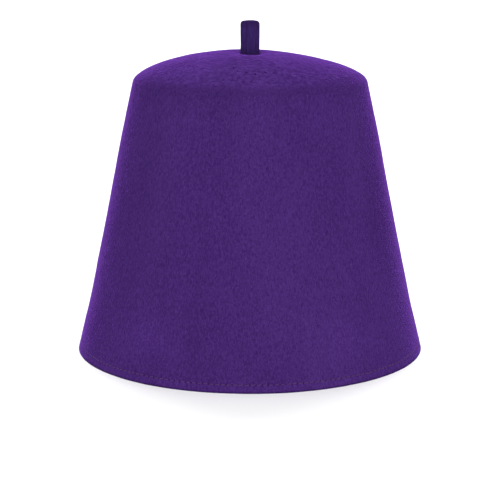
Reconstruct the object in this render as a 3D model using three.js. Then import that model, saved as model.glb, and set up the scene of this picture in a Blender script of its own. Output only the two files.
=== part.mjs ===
// A felt fez: a one-piece blocked crown, open below for the head, and a short felt stem that goes
// through its tip. Millimetres, +Z up, with the origin at the centre of the rim's resting face.

import * as THREE from 'three';

// Crown sizes. A dome fullness of 2 is an ellipse: less makes the dome straighter and its shoulder
// tighter.
const FELT_THICKNESS = 2.4;
const RIM_EDGE_ROUND = 0.7;
const SHOULDER_RADIUS = 62.2;
const SHOULDER_HEIGHT = 145.3;
const DOME_RISE = 15.8;
const DOME_FULLNESS = 1.64;

// The blocked tip stands a little higher towards -X than towards +X, and is drawn down round the stem.
const TIP_SLOPE = 1.6;
const DIP_DEPTH = 1.2;
const DIP_RADIUS = 9;

// The outer radius of the side wall, from a slight flare at the rim up a long taper to the shoulder.
const SIDE_SECTIONS = [
  { height: RIM_EDGE_ROUND, radius: 93.0 },
  { height: 6, radius: 91.7 },
  { height: 14, radius: 89.8 },
  { height: 26, radius: 86.8 },
  { height: 45, radius: 82.9 },
  { height: 70, radius: 77.7 },
  { height: 95, radius: 72.7 },
  { height: 118, radius: 68.2 },
];

// Stem sizes.
const STEM_RADIUS = 4.9;
const STEM_TOP_HEIGHT = 177.3;
const STEM_TOP_ROUND = 1.6;
const STEM_FOOT_FLARE = 0.6;
const STEM_FOOT_HEIGHT = 2.4;

// The play that separate pieces keep between them.
const FITTING_GAP = 0.3;

// How finely the round shapes are divided.
const CROWN_SIDES = 72;
const STEM_SIDES = 28;
const DOME_STEPS = 14;
const ROUND_STEPS = 3;
const FOOT_STEPS = 4;

// Sizes that follow from those above. The stem's seat clears the high side of the hole in the tip.
const STEM_HOLE_RADIUS = STEM_RADIUS + FITTING_GAP;
const STEM_HOLE_ANGLE = Math.acos((STEM_HOLE_RADIUS / SHOULDER_RADIUS) ** (DOME_FULLNESS / 2));
const STEM_HOLE_HEIGHT = domePoint(STEM_HOLE_ANGLE).y;
const STEM_SEAT_HEIGHT = STEM_HOLE_HEIGHT + (TIP_SLOPE * STEM_HOLE_RADIUS) / SHOULDER_RADIUS + FITTING_GAP;

const crownFelt = new THREE.MeshStandardMaterial({
  name: 'crown_felt',
  color: new THREE.Color().setRGB(0.3, 0.175, 0.47, THREE.SRGBColorSpace),
  roughness: 0.95,
  metalness: 0,
});

const stemFelt = new THREE.MeshStandardMaterial({
  name: 'stem_felt',
  color: new THREE.Color().setRGB(0.21, 0.13, 0.35, THREE.SRGBColorSpace),
  roughness: 0.95,
  metalness: 0,
});

// Points along part of an ellipse, by angle from the outward radius.
function arcPoints(centre, reach, fromAngle, toAngle, steps) {
  const clockwise = toAngle < fromAngle;
  const arc = new THREE.EllipseCurve(centre.x, centre.y, reach.x, reach.y, fromAngle, toAngle, clockwise);
  return arc.getPoints(steps);
}

// A point of the dome in half section: angle 0 is the shoulder and a quarter turn is the tip.
function domePoint(angle) {
  const power = 2 / DOME_FULLNESS;
  const radius = SHOULDER_RADIUS * Math.cos(angle) ** power;
  const dip = DIP_DEPTH * Math.exp(-((radius / DIP_RADIUS) ** 2));
  return new THREE.Vector2(radius, SHOULDER_HEIGHT + DOME_RISE * Math.sin(angle) ** power - dip);
}

// The crown's outer face in half section, from the top of the rim's round up to the stem's hole.
function crownOuterFace() {
  const side = SIDE_SECTIONS.map(({ radius, height }) => new THREE.Vector2(radius, height));
  const dome = [];
  for (let step = 0; step <= DOME_STEPS; step += 1) {
    dome.push(domePoint((STEM_HOLE_ANGLE * step) / DOME_STEPS));
  }
  return [...side, ...dome];
}

// The felt's inner face: the outer one moved in by the felt's thickness, square to the surface.
// It ends level with the rim's round below and on the wall of the stem's hole above.
function crownInnerFace(outerFace) {
  const last = outerFace.length - 1;
  const innerFace = outerFace.map((point, index) => {
    const below = outerFace[Math.max(index - 1, 0)];
    const above = outerFace[Math.min(index + 1, last)];
    const climb = above.clone().sub(below).normalize();
    return new THREE.Vector2(point.x - climb.y * FELT_THICKNESS, point.y + climb.x * FELT_THICKNESS);
  });
  innerFace[0].y = RIM_EDGE_ROUND;
  innerFace[last].x = STEM_HOLE_RADIUS;
  return innerFace;
}

// The cut edge of the felt: a flat resting face at height 0 between two small rounds.
function rimEdge(innerRadius, outerRadius) {
  const reach = new THREE.Vector2(RIM_EDGE_ROUND, RIM_EDGE_ROUND);
  const innerCentre = new THREE.Vector2(innerRadius + RIM_EDGE_ROUND, RIM_EDGE_ROUND);
  const outerCentre = new THREE.Vector2(outerRadius - RIM_EDGE_ROUND, RIM_EDGE_ROUND);
  return [
    ...arcPoints(innerCentre, reach, Math.PI, 1.5 * Math.PI, ROUND_STEPS),
    ...arcPoints(outerCentre, reach, 1.5 * Math.PI, 2 * Math.PI, ROUND_STEPS),
  ];
}

// A half section turned about the Z axis.
function turned(section, sides) {
  return new THREE.LatheGeometry(section, sides).rotateX(Math.PI / 2);
}

// Slopes the tip: most of the slope lies half way out, and none at the middle or at the shoulder.
function slopeTip(geometry) {
  const place = geometry.attributes.position;
  for (let index = 0; index < place.count; index += 1) {
    const across = place.getX(index) / SHOULDER_RADIUS;
    const outward = Math.hypot(place.getX(index), place.getY(index)) / SHOULDER_RADIUS;
    if (outward < 1) {
      place.setZ(index, place.getZ(index) - TIP_SLOPE * across * (1 - outward ** 2));
    }
  }
  return geometry;
}

function makeCrown() {
  const outerFace = crownOuterFace();
  const innerFace = crownInnerFace(outerFace);
  const edge = rimEdge(innerFace[0].x, outerFace[0].x);
  const section = [...edge, ...outerFace.slice(1), ...innerFace.slice().reverse()];
  const crown = new THREE.Mesh(slopeTip(turned(section, CROWN_SIDES)), crownFelt);
  crown.name = 'crown';
  return crown;
}

// The stem's half section: the shank inside the tip, a flared foot that seats on the dome, a
// straight stalk and a rounded top.
function makeStem() {
  const shankBottom = STEM_HOLE_HEIGHT - FELT_THICKNESS;
  const footRadius = STEM_RADIUS + STEM_FOOT_FLARE;
  const footCentre = new THREE.Vector2(footRadius, STEM_SEAT_HEIGHT + STEM_FOOT_HEIGHT);
  const footReach = new THREE.Vector2(STEM_FOOT_FLARE, STEM_FOOT_HEIGHT);
  const topCentre = new THREE.Vector2(STEM_RADIUS - STEM_TOP_ROUND, STEM_TOP_HEIGHT - STEM_TOP_ROUND);
  const topReach = new THREE.Vector2(STEM_TOP_ROUND, STEM_TOP_ROUND);
  const section = [
    new THREE.Vector2(0, shankBottom),
    new THREE.Vector2(STEM_RADIUS, shankBottom),
    new THREE.Vector2(STEM_RADIUS, STEM_SEAT_HEIGHT),
    ...arcPoints(footCentre, footReach, 1.5 * Math.PI, Math.PI, FOOT_STEPS),
    ...arcPoints(topCentre, topReach, 0, Math.PI / 2, ROUND_STEPS),
    new THREE.Vector2(0, STEM_TOP_HEIGHT),
  ];
  const stem = new THREE.Mesh(turned(section, STEM_SIDES), stemFelt);
  stem.name = 'stem';
  return stem;
}

const fez = new THREE.Group();
fez.add(makeCrown(), makeStem());

export default fez;
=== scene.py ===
"""A purple felt fez with a short stem, standing on its rim on a white studio floor."""

import math
import random

import bmesh
import bpy
from mathutils import Matrix, Vector


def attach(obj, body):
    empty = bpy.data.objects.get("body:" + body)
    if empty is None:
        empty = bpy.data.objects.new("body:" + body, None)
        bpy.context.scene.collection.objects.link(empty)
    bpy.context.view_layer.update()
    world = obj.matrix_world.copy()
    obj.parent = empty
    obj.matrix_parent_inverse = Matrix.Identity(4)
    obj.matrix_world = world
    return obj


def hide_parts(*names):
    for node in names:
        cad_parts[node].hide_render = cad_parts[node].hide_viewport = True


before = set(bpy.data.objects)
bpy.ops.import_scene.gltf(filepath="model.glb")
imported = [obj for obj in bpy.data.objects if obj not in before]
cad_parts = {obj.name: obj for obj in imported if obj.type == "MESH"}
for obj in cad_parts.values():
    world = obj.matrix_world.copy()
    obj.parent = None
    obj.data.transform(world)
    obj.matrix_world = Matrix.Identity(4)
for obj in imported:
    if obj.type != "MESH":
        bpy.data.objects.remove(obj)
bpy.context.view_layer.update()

MM = 0.001
QUARTER_TURN = math.pi / 2
FULL_TURN = 2 * math.pi

# How near two heights count as the same, in millimetres.
TOUCH = 0.01

# The blocked crown, in millimetres: the sizes of its solid, with a deeper dip where the stem is sewn in.
FELT_THICKNESS = 2.4
RIM_EDGE_ROUND = 0.7
RIM_EDGE_ANGLE = math.radians(55)
RIM_EDGE_STEPS = 3
SHOULDER_RADIUS = 62.2
SHOULDER_HEIGHT = 145.3
DOME_RISE = 15.8
DOME_FULLNESS = 1.64
TIP_SLOPE = 1.6
DIP_DEPTH = 1.7
DIP_RADIUS = 9.0
SIDE_SECTIONS = [
    # height, outer radius
    (0.0, 93.15),
    (6.0, 91.7),
    (14.0, 89.8),
    (26.0, 86.8),
    (45.0, 82.9),
    (70.0, 77.7),
    (95.0, 72.7),
    (118.0, 68.2),
    (SHOULDER_HEIGHT, SHOULDER_RADIUS),
]
CROWN_SIDES = 180
RINGS_BELOW_HEM = [0.0, 1.2, 2.4]
RINGS_ABOVE_HEM = [6.0, 7.5]
SIDE_RING_SPACING = 5.5
DOME_RINGS = 22

# The felt as it comes off the block: how far its brushed nap stands proud, and its swells and lumps.
NAP_DEPTH = 0.25
SWELL_SIZE = 38
SWELL_DEPTH = 0.5
LUMP_SIZE = 7
LUMP_DEPTH = 0.2
FELT_SMOOTHING = math.radians(50)

# The stem, rolled from a strip of felt whose outer edge leaves a seam.
STEM_RADIUS = 4.9
STEM_HOLE_RADIUS = 5.2
STEM_HOLE_ANGLE = math.acos((STEM_HOLE_RADIUS / SHOULDER_RADIUS) ** (DOME_FULLNESS / 2))
STEM_TOP_HEIGHT = 177.3
STEM_TOP_ROUND = 1.6
STEM_TOP_RISE = 0.1
STEM_TOP_MIDDLE = 0.45
STEM_TOP_INSET = 0.6
STEM_BOTTOM_INSET = 1.2
STEM_FOOT_FLARE = 0.2
STEM_FOOT_HEIGHT = 2.4
STEM_FOOT_ABOVE_SEAT = 0.1
STEM_SHANK_BELOW_SEAT = 0.2
STEM_SIDES = 48
STEM_FOOT_STEPS = 6
STEM_STALK_STEPS = 10
STEM_TOP_STEPS = 5
STEM_LUMP_DEPTH = 0.35
STEM_NAP_DEPTH = 0.2
STEM_SEAM_ANGLE = math.radians(247.5)
STEM_SEAM_SPREAD = 0.05
STEM_SEAM_DEPTH = 0.15
STEM_SEAM_INNER_RADIUS = 3
STEM_ROLL_THICKNESS = 1.9

# The row of machine stitches above the rim, and how far they stray from an even row.
HEM_HEIGHT = 4.2
HEM_GROOVE_DEPTH = 0.45
HEM_GROOVE_REACH = 0.6
HEM_STITCHES = 190
HEM_THREAD_PROUD = 0.1
HEM_WALL_SLANT = 1.03
HEM_STITCH_DRIFT = 0.06
HEM_STITCH_WANDER = 0.12
HEM_STITCH_SLANT = (2, 9)

# A stitch rises out of the felt, runs level and dips back in.
STITCH_LENGTH = 2.5
STITCH_PATH = [
    # share of the half length, out of the felt, lean in degrees
    (-1.0, -0.55, 60),
    (-0.86, -0.05, 40),
    (-0.4, 0.12, 8),
    (0.4, 0.12, -8),
    (0.86, -0.05, -40),
    (1.0, -0.55, -60),
]
THREAD_RADIUS = 0.24
THREAD_SIDES = 6
THREAD_SMOOTHING = math.radians(60)

# The tacking stitches that hold the stem's foot, with their place on it and how far they stray.
TACK_STITCHES = 14
TACK_OUT = 0.1
TACK_UP = 0.35
TACK_DRIFT = 0.25
TACK_LEAN = 0.5

# The crown's felt: its shades, from the hollows between the tufts to their tops, part its own uneven tone
# and part painted shade in the hollows, and its sheen.
CROWN_SHADES = [(0.0345, 0.0110, 0.0933), (0.0509, 0.0180, 0.1304), (0.0689, 0.0265, 0.1696)]
CROWN_FIBRES = {"Fibre size": 0.92, "Nap length": 2.1, "Cloud size": 32.0, "Tip height": 150.0}
CROWN_SHEEN = 0.9
CROWN_SHEEN_ROUGHNESS = 0.132

# The stem's felt.
STEM_SHADES = [(0.0230, 0.0098, 0.0640), (0.0312, 0.0143, 0.0860), (0.0400, 0.0188, 0.1080)]
STEM_FIBRES = {"Fibre size": 0.9, "Nap length": 3.0, "Cloud size": 12.0, "Tip height": STEM_TOP_HEIGHT}
STEM_SHEEN = 0.1
STEM_SHEEN_ROUGHNESS = 0.25

# What both felts share. The shades lie at these places along the mottle.
SHADE_PLACES = (0.36, 0.5, 0.64)
SHEEN_TINT = (0.42, 0.125, 1.0, 1)
FELT_ROUGHNESS = 0.95
FELT_RELIEF = 0.5
CLOUD_SHARE = 0.22
CLOUD_STRETCH = 3.0
GRAIN_SHARE = 0.4
GRAIN_WIDTH = 0.55
TUFT_WIDTH = 2.3
TIP_CONTRAST = 1.25
TIP_BLEND = 2.0
# Painted shade in the holes, marks and seams, as a share of the darkest shade, and how deep they sink.
DENT_PAINTED_SHADE = 0.25
DENT_DEPTH = 0.5

# How much of its full shade the felt keeps up the crown, all painted light and shade: painted shade at the
# cut edge under the rim, painted light at the hem and lower down against the floor's shade, painted shade
# at the shoulder and painted light on the tip.
CROWN_PAINTED_LIGHT_BANDS = [
    # height, share of the full shade
    (0.0, 0.6),
    (0.5, 0.6),
    (1.3, 1.0),
    (3.6, 1.0),
    (5.5, 0.89),
    (30.0, 0.835),
    (85.0, 0.79),
    (134.0, 0.785),
    (144.5, 0.726),
    (148.8, 0.726),
    (151.2, 0.868),
]

# The same up the stem: painted shade at its foot where it meets the tip, and darker at its top.
STEM_PAINTED_SHADE_BANDS = [
    # height, share of the full shade
    (0.0, 0.75),
    (161.0, 0.75),
    (163.5, 1.0),
    (173.0, 1.0),
    (176.5, 0.7),
]

# Soft patches painted lighter or darker, by their turn from the front and their height; the two tall ones
# at the sides are painted shade on the crown's flanks.
TONE_AND_SHADE_PATCHES = [
    # turn in degrees, height, half width in degrees, half height, share lighter
    (-46, 100, 16, 55, -0.12),
    (34, 142, 14, 18, 0.15),
    (-42, 154, 18, 5, 0.20),
    (-37, 23, 12, 13, 0.18),
    (36, 23, 12, 13, 0.12),
    (5, 136, 5, 12, 0.05),
    (-70, 90, 12, 75, -0.10),
    (68, 90, 12, 75, -0.13),
]
PATCH_EDGE = 1.5

# The hem's needle holes, and the needle marks in the front of the tip, both painted dark as shade in the
# holes.
# Their edges fade out between two shares of their size.
NEEDLE_HOLE_RADIUS = 0.4
NEEDLE_HOLE_EDGES = (1.6, 0.4)
NEEDLE_HOLE_PAINTED_SHADE = 0.55
NEEDLE_MARKS = [
    # x, y, how dark
    (-7.5, -29.7, 0.65),
    (-8.5, -35.5, 0.85),
    (-6.5, -39.7, 0.65),
    (-1.8, -42.0, 0.9),
    (2.7, -43.8, 0.9),
    (4.4, -40.6, 0.65),
    (7.8, -41.0, 0.9),
    (12.0, -41.3, 0.4),
]
NEEDLE_MARK_WIDTH = 0.5
NEEDLE_MARK_LENGTH = 1.3
NEEDLE_MARK_EDGES = (1.3, 0.6)

# How the stem's seam and roll's edge, both painted dark as shade in their grooves, fade out: beside the
# seam, inwards from it, across the roll's edge and below the top.
SEAM_EDGES = (0.7, 0.1)
SEAM_INNER_EDGES = (2.0, 3.0)
ROLL_EDGES = (0.2, 0.04)
STEM_TOP_EDGES = (0.6, 0.2)
SEAM_PAINTED_SHADE = 0.3

# Sewing thread: two shades along its twist.
HEM_THREAD_SHADES = [(0.045, 0.016, 0.092), (0.100, 0.043, 0.150)]
TACK_THREAD_SHADES = [(0.014, 0.006, 0.04), (0.03, 0.012, 0.08)]
THREAD_SHADE_PLACES = (0.3, 0.7)
THREAD_TWIST = 2500.0
THREAD_ROUGHNESS = 0.8
THREAD_SPECULAR = 0.1

# The photograph's camera: 1.1 m away, looking down on the hat.
CAMERA_PLACE = (0.0, -1.1, 0.3053)
CAMERA_PITCH = math.radians(12.914)
CAMERA_LENS = 149.93
CAMERA_SENSOR = 36.0

# Light: an even white room, a broad light from behind and above, and a weak one beside the camera.
ROOM_STRENGTH = 1.1
BACK_LIGHT_FROM = (0.0, 1.53, 1.29)
BACK_LIGHT_STRENGTH = 2.7
FRONT_LIGHT_FROM = (0.1, -1.8, 0.2)
FRONT_LIGHT_STRENGTH = 1.4
LIGHT_SPREAD = math.radians(50)
FLOOR_SIZE = 14
FLOOR_SHADE = (0.93, 0.93, 0.93, 1)
FLOOR_ROUGHNESS = 0.9


# Helpers for modelling by hand.


def start_fresh():
    """Leaves edit mode with nothing selected."""
    if bpy.context.mode != "OBJECT":
        bpy.ops.object.mode_set(mode="OBJECT")
    bpy.ops.object.select_all(action="DESELECT")


def select_alone(piece):
    """Selects one piece alone and makes it the active one."""
    start_fresh()
    piece.select_set(True)
    bpy.context.view_layer.objects.active = piece


def edit(piece):
    """Enters edit mode on one piece alone."""
    select_alone(piece)
    bpy.ops.object.mode_set(mode="EDIT")


def stop_editing():
    bpy.ops.object.mode_set(mode="OBJECT")


def select_where(piece, test):
    """In edit mode, selects the vertices whose place, in millimetres, passes the test."""
    mesh = bmesh.from_edit_mesh(piece.data)
    bpy.ops.mesh.select_all(action="DESELECT")
    for vertex in mesh.verts:
        vertex.select = test(vertex.co / MM)
    mesh.select_flush(True)
    bmesh.update_edit_mesh(piece.data)


def face_outwards():
    """In edit mode, turns all faces of a shape outwards."""
    bpy.ops.mesh.select_all(action="SELECT")
    bpy.ops.mesh.normals_make_consistent(inside=False)


def apply_modifiers(piece):
    """Applies a piece's modifiers in their order."""
    select_alone(piece)
    for modifier in list(piece.modifiers):
        bpy.ops.object.modifier_apply(modifier=modifier.name)


def subdivide_smooth(piece):
    modifier = piece.modifiers.new("Smooth form", "SUBSURF")
    modifier.levels = 1
    modifier.render_levels = 1


def smooth_shading(piece, angle):
    select_alone(piece)
    bpy.ops.object.shade_smooth_by_angle(angle=angle)


def start_ring(name, sides, ring):
    """A circle at a ring's height and radius, open in edit mode and selected."""
    height, radius, _ = ring
    start_fresh()
    bpy.ops.mesh.primitive_circle_add(
        vertices=sides, radius=radius * MM, fill_type="NOTHING", location=(0, 0, height * MM)
    )
    piece = bpy.context.object
    piece.name = name
    piece.data.name = name
    bpy.ops.object.transform_apply(location=True, rotation=True, scale=True)
    edit(piece)
    bpy.ops.mesh.select_all(action="SELECT")
    return piece


def next_ring(old, new):
    """Extrudes the selected ring from one (height, radius, slope) to the next."""
    old_height, old_radius, old_slope = old
    height, radius, slope = new
    bpy.ops.mesh.extrude_edges_move(TRANSFORM_OT_translate={"value": (0, 0, (height - old_height) * MM)})
    growth = radius / old_radius
    middle = (0, 0, height * MM)
    bpy.ops.transform.resize(value=(growth, growth, 1), center_override=middle)
    tilt = math.atan(slope) - math.atan(old_slope / growth)
    if tilt:
        bpy.ops.transform.rotate(value=-tilt, orient_axis="Y", center_override=middle)


def raise_rings(name, sides, rings):
    """Raises a piece ring by ring, and leaves it in edit mode with its last ring selected."""
    piece = start_ring(name, sides, rings[0])
    for old, new in zip(rings, rings[1:]):
        next_ring(old, new)
    return piece


# The crown.


def side_radius(height):
    """The outer radius of the side wall at a height."""
    for (low, low_radius), (high, high_radius) in zip(SIDE_SECTIONS, SIDE_SECTIONS[1:]):
        if height <= high:
            share = (height - low) / (high - low)
            return low_radius + share * (high_radius - low_radius)
    return SHOULDER_RADIUS


def dome_point(angle):
    """Height and radius of the dome: angle 0 is the shoulder and a quarter turn is the tip."""
    power = 2 / DOME_FULLNESS
    radius = SHOULDER_RADIUS * math.cos(angle) ** power
    dip = DIP_DEPTH * math.exp(-((radius / DIP_RADIUS) ** 2))
    return SHOULDER_HEIGHT + DOME_RISE * math.sin(angle) ** power - dip, radius


def tip_slope(radius):
    """How steeply a ring of the tip falls towards +X."""
    outward = min(radius / SHOULDER_RADIUS, 1)
    return TIP_SLOPE / SHOULDER_RADIUS * (1 - outward**2)


def crown_rings():
    """Height, radius and slope of each ring, from the rim up to the hole for the stem."""
    groove = [HEM_HEIGHT - HEM_GROOVE_REACH, HEM_HEIGHT, HEM_HEIGHT + HEM_GROOVE_REACH]
    heights = [*RINGS_BELOW_HEM, *groove, *RINGS_ABOVE_HEM]
    rest = SHOULDER_HEIGHT - heights[-1]
    count = round(rest / SIDE_RING_SPACING)
    heights += [heights[-1] + rest * (step + 1) / count for step in range(count)]
    rings = []
    for height in heights:
        sink = HEM_GROOVE_DEPTH if height == HEM_HEIGHT else 0.0
        rings.append((height, side_radius(height) - sink, 0.0))
    for step in range(DOME_RINGS):
        height, radius = dome_point(STEM_HOLE_ANGLE * (step + 1) / DOME_RINGS)
        rings.append((height, radius, tip_slope(radius)))
    return rings


def felt_unevenness(piece, name, size, depth, lift):
    """Lets the felt swell and sink a little, as it comes off the block, and lifts its nap."""
    texture = bpy.data.textures.new(name, "CLOUDS")
    texture.noise_scale = size * MM
    texture.noise_depth = 1
    modifier = piece.modifiers.new(name, "DISPLACE")
    modifier.texture = texture
    modifier.texture_coords = "LOCAL"
    modifier.direction = "NORMAL"
    modifier.mid_level = 0.5 - lift / depth
    modifier.strength = depth * MM


def make_crown():
    crown = raise_rings("crown_felt", CROWN_SIDES, crown_rings())
    face_outwards()
    stop_editing()

    subdivide_smooth(crown)
    felt_unevenness(crown, "Blocking swell", SWELL_SIZE, SWELL_DEPTH, NAP_DEPTH)
    felt_unevenness(crown, "Felt lumps", LUMP_SIZE, LUMP_DEPTH, 0)
    wall = crown.modifiers.new("Felt wall", "SOLIDIFY")
    wall.thickness = FELT_THICKNESS * MM
    wall.offset = -1
    wall.use_even_offset = True
    apply_modifiers(crown)

    # The rim rests flat on the floor, with its cut edges a little rounded.
    edit(crown)
    select_where(crown, lambda place: place.z < RIM_EDGE_ROUND / 2)
    bpy.ops.transform.resize(value=(1, 1, 0), center_override=(0, 0, 0))
    stop_editing()
    edge = crown.modifiers.new("Cut edge", "BEVEL")
    edge.limit_method = "ANGLE"
    edge.angle_limit = RIM_EDGE_ANGLE
    edge.width = RIM_EDGE_ROUND * MM
    edge.segments = RIM_EDGE_STEPS
    apply_modifiers(crown)
    smooth_shading(crown, FELT_SMOOTHING)
    return crown


# The stem.


def stem_rings():
    """Height, radius and slope of each ring of the stem, from its shank up to its rounded top."""
    seat, _ = dome_point(STEM_HOLE_ANGLE)
    shank_heights = (seat - FELT_THICKNESS, seat - STEM_SHANK_BELOW_SEAT)
    rings = [(height, STEM_RADIUS, 0.0) for height in shank_heights]
    for step in range(STEM_FOOT_STEPS + 1):
        angle = QUARTER_TURN * step / STEM_FOOT_STEPS
        height = seat + STEM_FOOT_ABOVE_SEAT + STEM_FOOT_HEIGHT * (1 - math.cos(angle))
        rings.append((height, STEM_RADIUS + STEM_FOOT_FLARE * (1 - math.sin(angle)), 0.0))
    stalk_bottom = rings[-1][0]
    stalk_top = STEM_TOP_HEIGHT - STEM_TOP_ROUND
    for step in range(STEM_STALK_STEPS):
        height = stalk_bottom + (stalk_top - stalk_bottom) * (step + 1) / STEM_STALK_STEPS
        rings.append((height, STEM_RADIUS, 0.0))
    for step in range(STEM_TOP_STEPS):
        angle = QUARTER_TURN * (step + 1) / STEM_TOP_STEPS
        height = stalk_top + STEM_TOP_ROUND * math.sin(angle)
        rings.append((height, STEM_RADIUS - STEM_TOP_ROUND * (1 - math.cos(angle)), 0.0))
    rings.append((STEM_TOP_HEIGHT + STEM_TOP_RISE, STEM_RADIUS * STEM_TOP_MIDDLE, 0.0))
    return rings


def close_end(inset):
    """Closes the selected ring with an inset rim and a fan of faces."""
    bpy.ops.mesh.edge_face_add()
    bpy.ops.mesh.inset(thickness=inset * MM)
    bpy.ops.mesh.poke()


def press_seam(stem, bottom):
    """Presses in the line down the stem where the strip's outer edge ends."""
    seam = Vector((math.cos(STEM_SEAM_ANGLE), math.sin(STEM_SEAM_ANGLE), 0))

    def on_seam(place):
        outside = place.z > bottom and place.xy.length > STEM_SEAM_INNER_RADIUS
        return outside and place.xy.angle(seam.xy) < STEM_SEAM_SPREAD

    select_where(stem, on_seam)
    bpy.ops.transform.translate(value=seam * -STEM_SEAM_DEPTH * MM)


def make_stem():
    rings = stem_rings()
    bottom = rings[0][0]
    stem = raise_rings("stem_felt", STEM_SIDES, rings)
    close_end(STEM_TOP_INSET)
    select_where(stem, lambda place: place.z < bottom + TOUCH)
    close_end(STEM_BOTTOM_INSET)
    face_outwards()
    press_seam(stem, bottom + FELT_THICKNESS)
    stop_editing()
    subdivide_smooth(stem)
    felt_unevenness(stem, "Roll lumps", LUMP_SIZE, STEM_LUMP_DEPTH, STEM_NAP_DEPTH)
    apply_modifiers(stem)
    smooth_shading(stem, FELT_SMOOTHING)
    return stem


# The stitching.


def make_stitch(name):
    """One stitch along X, with +Z out of the felt."""
    half = STITCH_LENGTH / 2
    path = [(half * share, out, math.radians(lean)) for share, out, lean in STITCH_PATH]
    start_fresh()
    bpy.ops.mesh.primitive_circle_add(
        vertices=THREAD_SIDES, radius=THREAD_RADIUS * MM, fill_type="NGON", rotation=(0, QUARTER_TURN, 0)
    )
    stitch = bpy.context.object
    stitch.name = name
    bpy.ops.object.transform_apply(location=True, rotation=True, scale=True)
    edit(stitch)
    bpy.ops.mesh.select_all(action="SELECT")
    along, out, lean = path[0]
    spot = (along * MM, 0, out * MM)
    bpy.ops.transform.translate(value=spot)
    bpy.ops.transform.rotate(value=lean, orient_axis="Y", center_override=spot)
    for (old_along, old_out, old_lean), (along, out, lean) in zip(path, path[1:]):
        step = ((along - old_along) * MM, 0, (out - old_out) * MM)
        spot = (along * MM, 0, out * MM)
        bpy.ops.mesh.extrude_region_move(TRANSFORM_OT_translate={"value": step})
        bpy.ops.transform.rotate(value=lean - old_lean, orient_axis="Y", center_override=spot)
    face_outwards()
    stop_editing()
    return stitch


def joined_copies(pattern, name, places):
    """Copies of a piece at each place, each with its own mesh, joined into one piece."""
    copies = []
    for place in places:
        copy = pattern.copy()
        copy.data = pattern.data.copy()
        copy.data.transform(place)
        bpy.context.scene.collection.objects.link(copy)
        copies.append(copy)
    bpy.data.objects.remove(pattern)
    start_fresh()
    for copy in copies:
        copy.select_set(True)
    bpy.context.view_layer.objects.active = copies[0]
    bpy.ops.object.join()
    joined = bpy.context.object
    joined.name = name
    joined.data.name = name
    smooth_shading(joined, THREAD_SMOOTHING)
    return joined


def lay(spot, along, out):
    """Places a stitch at a spot: its length runs along, and its back faces away from out."""
    along = along.normalized()
    out = (out - along * out.dot(along)).normalized()
    turn = Matrix((along, out.cross(along), out)).transposed().to_4x4()
    return Matrix.Translation(spot * MM) @ turn


def make_hem_stitches(name, radius, outward, seed):
    """A row of stitches round the hem that faces out of the wall (1) or into the hat (-1)."""
    chance = random.Random(seed)
    (low, low_radius), (high, high_radius) = SIDE_SECTIONS[:2]
    wall_lean = math.atan((low_radius - high_radius) / (high - low))
    places = []
    for index in range(HEM_STITCHES):
        angle = FULL_TURN * (index + HEM_STITCH_DRIFT * chance.uniform(-1, 1)) / HEM_STITCHES
        height = HEM_HEIGHT + HEM_STITCH_WANDER * chance.uniform(-1, 1)
        away = Vector((math.cos(angle), math.sin(angle), 0))
        round_hem = Vector((-math.sin(angle), math.cos(angle), 0))
        spot = away * radius + Vector((0, 0, height))
        out = (away * math.cos(wall_lean) + Vector((0, 0, math.sin(wall_lean)))) * outward
        slant = Matrix.Rotation(math.radians(chance.uniform(*HEM_STITCH_SLANT)), 4, "Z")
        places.append(lay(spot, round_hem, out) @ slant)
    return joined_copies(make_stitch(name), name, places)


def make_tack_stitches(name, seed):
    """Short stitches that slant from the stem's foot down into the tip."""
    chance = random.Random(seed)
    seat, _ = dome_point(STEM_HOLE_ANGLE)
    height = seat + STEM_FOOT_ABOVE_SEAT + TACK_UP
    up = Vector((0, 0, 1))
    places = []
    for index in range(TACK_STITCHES):
        angle = FULL_TURN * (index + TACK_DRIFT * chance.uniform(-1, 1)) / TACK_STITCHES
        away = Vector((math.cos(angle), math.sin(angle), 0))
        sideways = Vector((-math.sin(angle), math.cos(angle), 0)) * chance.uniform(-TACK_LEAN, TACK_LEAN)
        spot = away * (STEM_RADIUS + TACK_OUT) + up * height
        places.append(lay(spot, away - up + sideways, away + up))
    return joined_copies(make_stitch(name), name, places)


# Materials.


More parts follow.
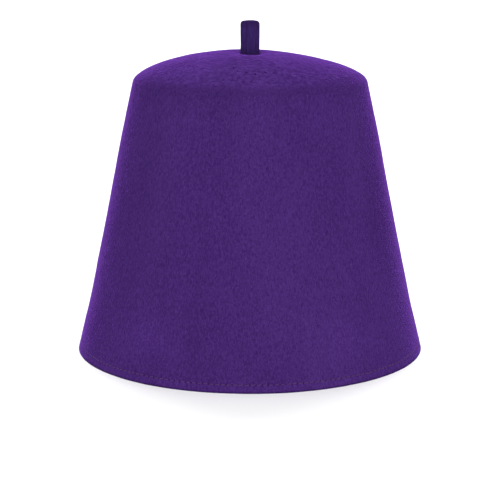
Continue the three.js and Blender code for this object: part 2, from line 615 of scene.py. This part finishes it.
class Nodes:
    """A short way to add nodes to one tree and join them."""

    def __init__(self, tree):
        self.tree = tree
        self.tree.nodes.clear()

    def add(self, kind, **settings):
        node = self.tree.nodes.new(kind)
        for key, value in settings.items():
            setattr(node, key, value)
        return node

    def join(self, source, node_input):
        """Links an output to an input, or sets the input to a plain value."""
        if isinstance(source, (int, float, tuple)):
            node_input.default_value = source
        else:
            self.tree.links.new(source, node_input)

    def join_all(self, sources, node):
        """Joins a source to each named input of a node."""
        for name, source in sources.items():
            self.join(source, node.inputs[name])

    def maths(self, operation, *values):
        node = self.add("ShaderNodeMath", operation=operation)
        for slot, value in enumerate(values):
            self.join(value, node.inputs[slot])
        return node.outputs[0]

    def distance(self, across, along):
        """The length of the slope between two legs at right angles."""
        along_squared = self.maths("MULTIPLY", along, along)
        return self.maths("SQRT", self.maths("MULTIPLY_ADD", across, across, along_squared))

    def fade(self, value, none_at, full_at):
        """A soft mask: 0 where the value is at none_at and 1 where it is at full_at."""
        node = self.add("ShaderNodeMapRange", interpolation_type="SMOOTHSTEP")
        self.join_all({"Value": value, "From Min": none_at, "From Max": full_at}, node)
        return node.outputs["Result"]

    def blend(self, mask, first, second):
        """One value where the mask is 0 and the other where it is 1."""
        node = self.add("ShaderNodeMix", data_type="FLOAT")
        for slot, source in zip((0, 2, 3), (mask, first, second)):
            self.join(source, node.inputs[slot])
        return node.outputs[0]

    def tint(self, mask, first, second, blend_type="MIX"):
        """One colour where the mask is 0 and the other, or both mixed, where it is 1."""
        node = self.add("ShaderNodeMix", data_type="RGBA", blend_type=blend_type)
        for slot, source in zip((0, 6, 7), (mask, first, second)):
            self.join(source, node.inputs[slot])
        return node.outputs[2]

    def noise(self, vector, scale=1.0, **settings):
        """Cloudy noise from 0 to 1, with settings for its other inputs by name."""
        node = self.add("ShaderNodeTexNoise")
        self.join_all({"Vector": vector, "Scale": scale, **settings}, node)
        return node.outputs["Fac"]

    def shades(self, value, stops):
        """Colours at places along a value, blended between."""
        ramp = self.add("ShaderNodeValToRGB")
        elements = ramp.color_ramp.elements
        for place, colour in stops[1:-1]:
            elements.new(place).color = (*colour, 1)
        for element, (place, colour) in ((elements[0], stops[0]), (elements[-1], stops[-1])):
            element.position = place
            element.color = (*colour, 1)
        self.join(value, ramp.inputs["Fac"])
        return ramp.outputs["Color"]

    def place(self):
        """The place on the piece in millimetres: all of it, and its x, y and z."""
        coordinates = self.add("ShaderNodeTexCoord")
        scaled = self.add("ShaderNodeVectorMath", operation="SCALE")
        self.join(coordinates.outputs["Object"], scaled.inputs[0])
        self.join(1 / MM, scaled.inputs["Scale"])
        split = self.add("ShaderNodeSeparateXYZ")
        self.join(scaled.outputs[0], split.inputs[0])
        return scaled.outputs[0], split.outputs[0], split.outputs[1], split.outputs[2]


def make_felt_group():
    """Felt fibres: a nap that runs up and down the sides and lies every way on the tip."""
    group = bpy.data.node_groups.new("Felt fibres", "ShaderNodeTree")
    for name, value in CROWN_FIBRES.items():
        socket = group.interface.new_socket(name, in_out="INPUT", socket_type="NodeSocketFloat")
        socket.default_value = value
    for name in ("Mottle", "Cloud"):
        group.interface.new_socket(name, in_out="OUTPUT", socket_type="NodeSocketFloat")
    nodes = Nodes(group)
    inputs = nodes.add("NodeGroupInput")
    outputs = nodes.add("NodeGroupOutput")
    place, _, _, height = nodes.place()

    def stretched(across, along):
        """The place, measured in widths across and in lengths up and down."""
        size = nodes.add("ShaderNodeCombineXYZ")
        for axis, length in enumerate((across, across, along)):
            nodes.join(length, size.inputs[axis])
        vector = nodes.add("ShaderNodeVectorMath", operation="DIVIDE")
        nodes.join(place, vector.inputs[0])
        nodes.join(size.outputs[0], vector.inputs[1])
        return vector.outputs[0]

    fibre = inputs.outputs["Fibre size"]
    nap = inputs.outputs["Nap length"]
    tip = inputs.outputs["Tip height"]
    on_tip = nodes.fade(height, nodes.maths("SUBTRACT", tip, TIP_BLEND), nodes.maths("ADD", tip, TIP_BLEND))
    streaks = nodes.noise(stretched(fibre, nap), Detail=3.0, Roughness=0.65, Distortion=0.6)
    tuft = nodes.maths("MULTIPLY", fibre, TUFT_WIDTH)
    tufts = nodes.noise(stretched(tuft, tuft), Detail=2.0, Roughness=0.6, Distortion=0.6)
    tufts = nodes.maths("MULTIPLY_ADD", tufts, TIP_CONTRAST, 0.5 - TIP_CONTRAST / 2)
    grain_place = stretched(nodes.maths("MULTIPLY", fibre, GRAIN_WIDTH), fibre)
    grain = nodes.noise(grain_place, Detail=2.0, Roughness=0.6, Distortion=0.3)
    mottle = nodes.blend(GRAIN_SHARE, nodes.blend(on_tip, streaks, tufts), grain)
    nodes.join(mottle, outputs.inputs["Mottle"])

    cloud_size = inputs.outputs["Cloud size"]
    cloud_place = stretched(cloud_size, nodes.maths("MULTIPLY", cloud_size, CLOUD_STRETCH))
    cloud = nodes.noise(cloud_place, Detail=2.0, Roughness=0.5, Distortion=0.0)
    nodes.join(cloud, outputs.inputs["Cloud"])
    return group


def start_material(name):
    """A new material with its nodes and its shader."""
    material = bpy.data.materials.new(name)
    material.use_nodes = True
    nodes = Nodes(material.node_tree)
    output = nodes.add("ShaderNodeOutputMaterial")
    shader = nodes.add("ShaderNodeBsdfPrincipled")
    nodes.join(shader.outputs[0], output.inputs["Surface"])
    return material, nodes, shader


def painted_light_by_height(nodes, bands):
    """How much of its full shade the felt keeps at each height, as painted light and shade."""
    _, _, _, height = nodes.place()
    top = bands[-1][0]
    stops = [(at / top, (share, share, share)) for at, share in bands]
    return nodes.shades(nodes.maths("DIVIDE", height, top), stops)


def tone_and_shade_patches(nodes):
    """How much of its shade the felt keeps in patches painted lighter or darker, with painted shade on the
    flanks.
    """
    _, across, away, height = nodes.place()
    turn = nodes.maths("ARCTAN2", across, nodes.maths("MULTIPLY", away, -1.0))
    share = 1.0
    for patch_turn, patch_height, half_width, half_height, lighter in TONE_AND_SHADE_PATCHES:
        beside = nodes.maths("SUBTRACT", turn, math.radians(patch_turn))
        beside = nodes.maths("DIVIDE", beside, math.radians(half_width))
        above = nodes.maths("DIVIDE", nodes.maths("SUBTRACT", height, patch_height), half_height)
        patch = nodes.fade(nodes.distance(beside, above), PATCH_EDGE, 0.0)
        share = nodes.maths("MULTIPLY_ADD", patch, lighter, share)
    return share


def finish_felt(nodes, shader, group, fibres, shades, share, shaded_dents):
    """Brushed wool felt that keeps a share of its shades as painted light and shade, with painted shade and
    lower relief where its mask of holes, marks and seams is 1.
    """
    felt = nodes.add("ShaderNodeGroup", node_tree=group)
    nodes.join_all(fibres, felt)
    mottle = felt.outputs["Mottle"]
    drift = nodes.maths("MULTIPLY_ADD", felt.outputs["Cloud"], CLOUD_SHARE, -CLOUD_SHARE / 2)
    # The mottle that sets the relief also sets the colour, so the hollows are darker: painted shade over
    # the felt's own uneven tone.
    colour = nodes.shades(nodes.maths("ADD", mottle, drift), list(zip(SHADE_PLACES, shades)))
    colour = nodes.tint(1.0, colour, share, "MULTIPLY")
    painted_dent_shade = tuple(part * DENT_PAINTED_SHADE for part in shades[0])
    bump = nodes.add("ShaderNodeBump")
    relief = nodes.maths("MULTIPLY_ADD", shaded_dents, -DENT_DEPTH, mottle)
    nodes.join_all({"Strength": 1.0, "Distance": FELT_RELIEF * MM, "Height": relief}, bump)
    finish = {
        "Base Color": nodes.tint(shaded_dents, colour, (*painted_dent_shade, 1)),
        "Normal": bump.outputs["Normal"],
        "Roughness": FELT_ROUGHNESS,
        "Specular IOR Level": 0.0,
        "Sheen Tint": SHEEN_TINT,
    }
    nodes.join_all(finish, shader)


def needle_holes(nodes):
    """A mask of painted shade in the holes between the hem's stitches and in the marks on the tip."""
    _, across, away, height = nodes.place()
    pitch = FULL_TURN * side_radius(HEM_HEIGHT) / HEM_STITCHES
    turn = nodes.maths("MULTIPLY", nodes.maths("ARCTAN2", away, across), HEM_STITCHES / FULL_TURN)
    along = nodes.maths("MULTIPLY_ADD", nodes.maths("FRACT", turn), pitch, -pitch / 2)
    above = nodes.maths("SUBTRACT", height, HEM_HEIGHT)
    edges = [NEEDLE_HOLE_RADIUS * edge for edge in NEEDLE_HOLE_EDGES]
    hole = nodes.fade(nodes.distance(along, above), *edges)
    mask = nodes.maths("MULTIPLY", hole, NEEDLE_HOLE_PAINTED_SHADE)
    for mark_across, mark_away, darkness in NEEDLE_MARKS:
        along = nodes.maths("DIVIDE", nodes.maths("SUBTRACT", across, mark_across), NEEDLE_MARK_WIDTH)
        down = nodes.maths("DIVIDE", nodes.maths("SUBTRACT", away, mark_away), NEEDLE_MARK_LENGTH)
        mark = nodes.fade(nodes.distance(along, down), *NEEDLE_MARK_EDGES)
        mask = nodes.maths("MAXIMUM", mask, nodes.maths("MULTIPLY", mark, darkness))
    return mask


def roll_seam(nodes):
    """A mask of painted shade along the seam down the stem and along the roll's edge that winds in on its
    top.
    """
    _, across, away, height = nodes.place()
    seam_across = math.cos(STEM_SEAM_ANGLE)
    seam_away = math.sin(STEM_SEAM_ANGLE)
    out = nodes.maths("MULTIPLY_ADD", across, seam_across, nodes.maths("MULTIPLY", away, seam_away))
    beside = nodes.maths("MULTIPLY_ADD", away, seam_across, nodes.maths("MULTIPLY", across, -seam_away))
    seam = nodes.fade(nodes.maths("ABSOLUTE", beside), *SEAM_EDGES)
    seam = nodes.maths("MULTIPLY", seam, nodes.fade(out, *SEAM_INNER_EDGES))
    inwards = nodes.maths("SUBTRACT", nodes.distance(across, away), STEM_RADIUS)
    layers = nodes.maths("DIVIDE", inwards, STEM_ROLL_THICKNESS)
    turn = nodes.maths("DIVIDE", nodes.maths("ARCTAN2", beside, out), FULL_TURN)
    winding = nodes.maths("FRACT", nodes.maths("ADD", nodes.maths("ADD", layers, turn), 0.5))
    edge = nodes.fade(nodes.maths("ABSOLUTE", nodes.maths("SUBTRACT", winding, 0.5)), *ROLL_EDGES)
    on_top = nodes.fade(height, *[STEM_TOP_HEIGHT - below for below in STEM_TOP_EDGES])
    return nodes.maths("MULTIPLY", nodes.blend(on_top, seam, edge), SEAM_PAINTED_SHADE)


def crown_felt_material(group):
    material, nodes, shader = start_material("Blocked felt")
    # Painted light and shade by height, and patches painted lighter or darker.
    share = nodes.maths("MULTIPLY", painted_light_by_height(nodes, CROWN_PAINTED_LIGHT_BANDS), tone_and_shade_patches(nodes))
    finish_felt(nodes, shader, group, CROWN_FIBRES, CROWN_SHADES, share, needle_holes(nodes))
    nodes.join_all({"Sheen Weight": CROWN_SHEEN, "Sheen Roughness": CROWN_SHEEN_ROUGHNESS}, shader)
    return material


def stem_felt_material(group):
    material, nodes, shader = start_material("Rolled felt")
    # Painted shade at the stem's foot, and darker at its top, by height.
    share = painted_light_by_height(nodes, STEM_PAINTED_SHADE_BANDS)
    finish_felt(nodes, shader, group, STEM_FIBRES, STEM_SHADES, share, roll_seam(nodes))
    nodes.join_all({"Sheen Weight": STEM_SHEEN, "Sheen Roughness": STEM_SHEEN_ROUGHNESS}, shader)
    return material


def thread_material(name, shades):
    """Sewing thread with a fine twist."""
    material, nodes, shader = start_material(name)
    coordinates = nodes.add("ShaderNodeTexCoord")
    twist = nodes.noise(coordinates.outputs["Object"], scale=THREAD_TWIST)
    finish = {
        "Base Color": nodes.shades(twist, list(zip(THREAD_SHADE_PLACES, shades))),
        "Roughness": THREAD_ROUGHNESS,
        "Specular IOR Level": THREAD_SPECULAR,
    }
    nodes.join_all(finish, shader)
    return material


def dress(piece, material, slot, *nodes):
    """Gives a piece its material and its body, and hides the solids that it stands for. The slot is not
    used.
    """
    piece.data.materials.clear()
    piece.data.materials.append(material)
    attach(piece, "root")
    if nodes:
        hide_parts(*nodes)


# The studio.


def make_floor():
    start_fresh()
    bpy.ops.mesh.primitive_plane_add(size=FLOOR_SIZE)
    floor = bpy.context.object
    floor.name = "studio_floor"
    material = bpy.data.materials.new("Studio floor")
    material.use_nodes = True
    shader = material.node_tree.nodes["Principled BSDF"]
    shader.inputs["Base Color"].default_value = FLOOR_SHADE
    shader.inputs["Roughness"].default_value = FLOOR_ROUGHNESS
    shader.inputs["Specular IOR Level"].default_value = 0.0
    floor.data.materials.append(material)


def make_light(name, place, strength):
    """A broad, far light that shines from a place towards the hat."""
    data = bpy.data.lights.new(name, "SUN")
    data.angle = LIGHT_SPREAD
    data.energy = strength
    light = bpy.data.objects.new(name, data)
    light.location = place
    light.rotation_euler = (-Vector(place)).to_track_quat("-Z", "Y").to_euler()
    bpy.context.scene.collection.objects.link(light)


def make_studio():
    world = bpy.data.worlds.new("Studio")
    world.use_nodes = True
    background = world.node_tree.nodes["Background"]
    background.inputs["Color"].default_value = (1, 1, 1, 1)
    background.inputs["Strength"].default_value = ROOM_STRENGTH
    scene = bpy.context.scene
    scene.world = world
    scene.view_settings.view_transform = "Standard"
    make_light("Back light", BACK_LIGHT_FROM, BACK_LIGHT_STRENGTH)
    make_light("Front light", FRONT_LIGHT_FROM, FRONT_LIGHT_STRENGTH)


def make_camera():
    data = bpy.data.cameras.new("Camera")
    data.sensor_width = CAMERA_SENSOR
    data.lens = CAMERA_LENS
    data.clip_start = 0.01
    data.clip_end = 50
    camera = bpy.data.objects.new("Camera", data)
    camera.location = CAMERA_PLACE
    camera.rotation_euler = (QUARTER_TURN - CAMERA_PITCH, 0, 0)
    bpy.context.scene.collection.objects.link(camera)
    bpy.context.scene.camera = camera


make_camera()
make_floor()
make_studio()

felt_group = make_felt_group()
hem_thread = thread_material("Hem thread", HEM_THREAD_SHADES)
tack_thread = thread_material("Tacking thread", TACK_THREAD_SHADES)

dress(make_crown(), crown_felt_material(felt_group), "crown_felt", "crown")
dress(make_stem(), stem_felt_material(felt_group), "stem_felt", "stem")

# Because the wall leans, it is a little thicker on the level than the felt itself.
groove_radius = side_radius(HEM_HEIGHT) + NAP_DEPTH - HEM_GROOVE_DEPTH
outer_hem = make_hem_stitches("hem_stitches_outside", groove_radius + HEM_THREAD_PROUD, 1, seed=11)
dress(outer_hem, hem_thread, "hem_thread")
inner_radius = groove_radius - FELT_THICKNESS * HEM_WALL_SLANT
inner_hem = make_hem_stitches("hem_stitches_inside", inner_radius, -1, seed=12)
dress(inner_hem, hem_thread, "hem_thread")
dress(make_tack_stitches("stem_tack_stitches", seed=13), tack_thread, "stem_felt")

start_fresh()
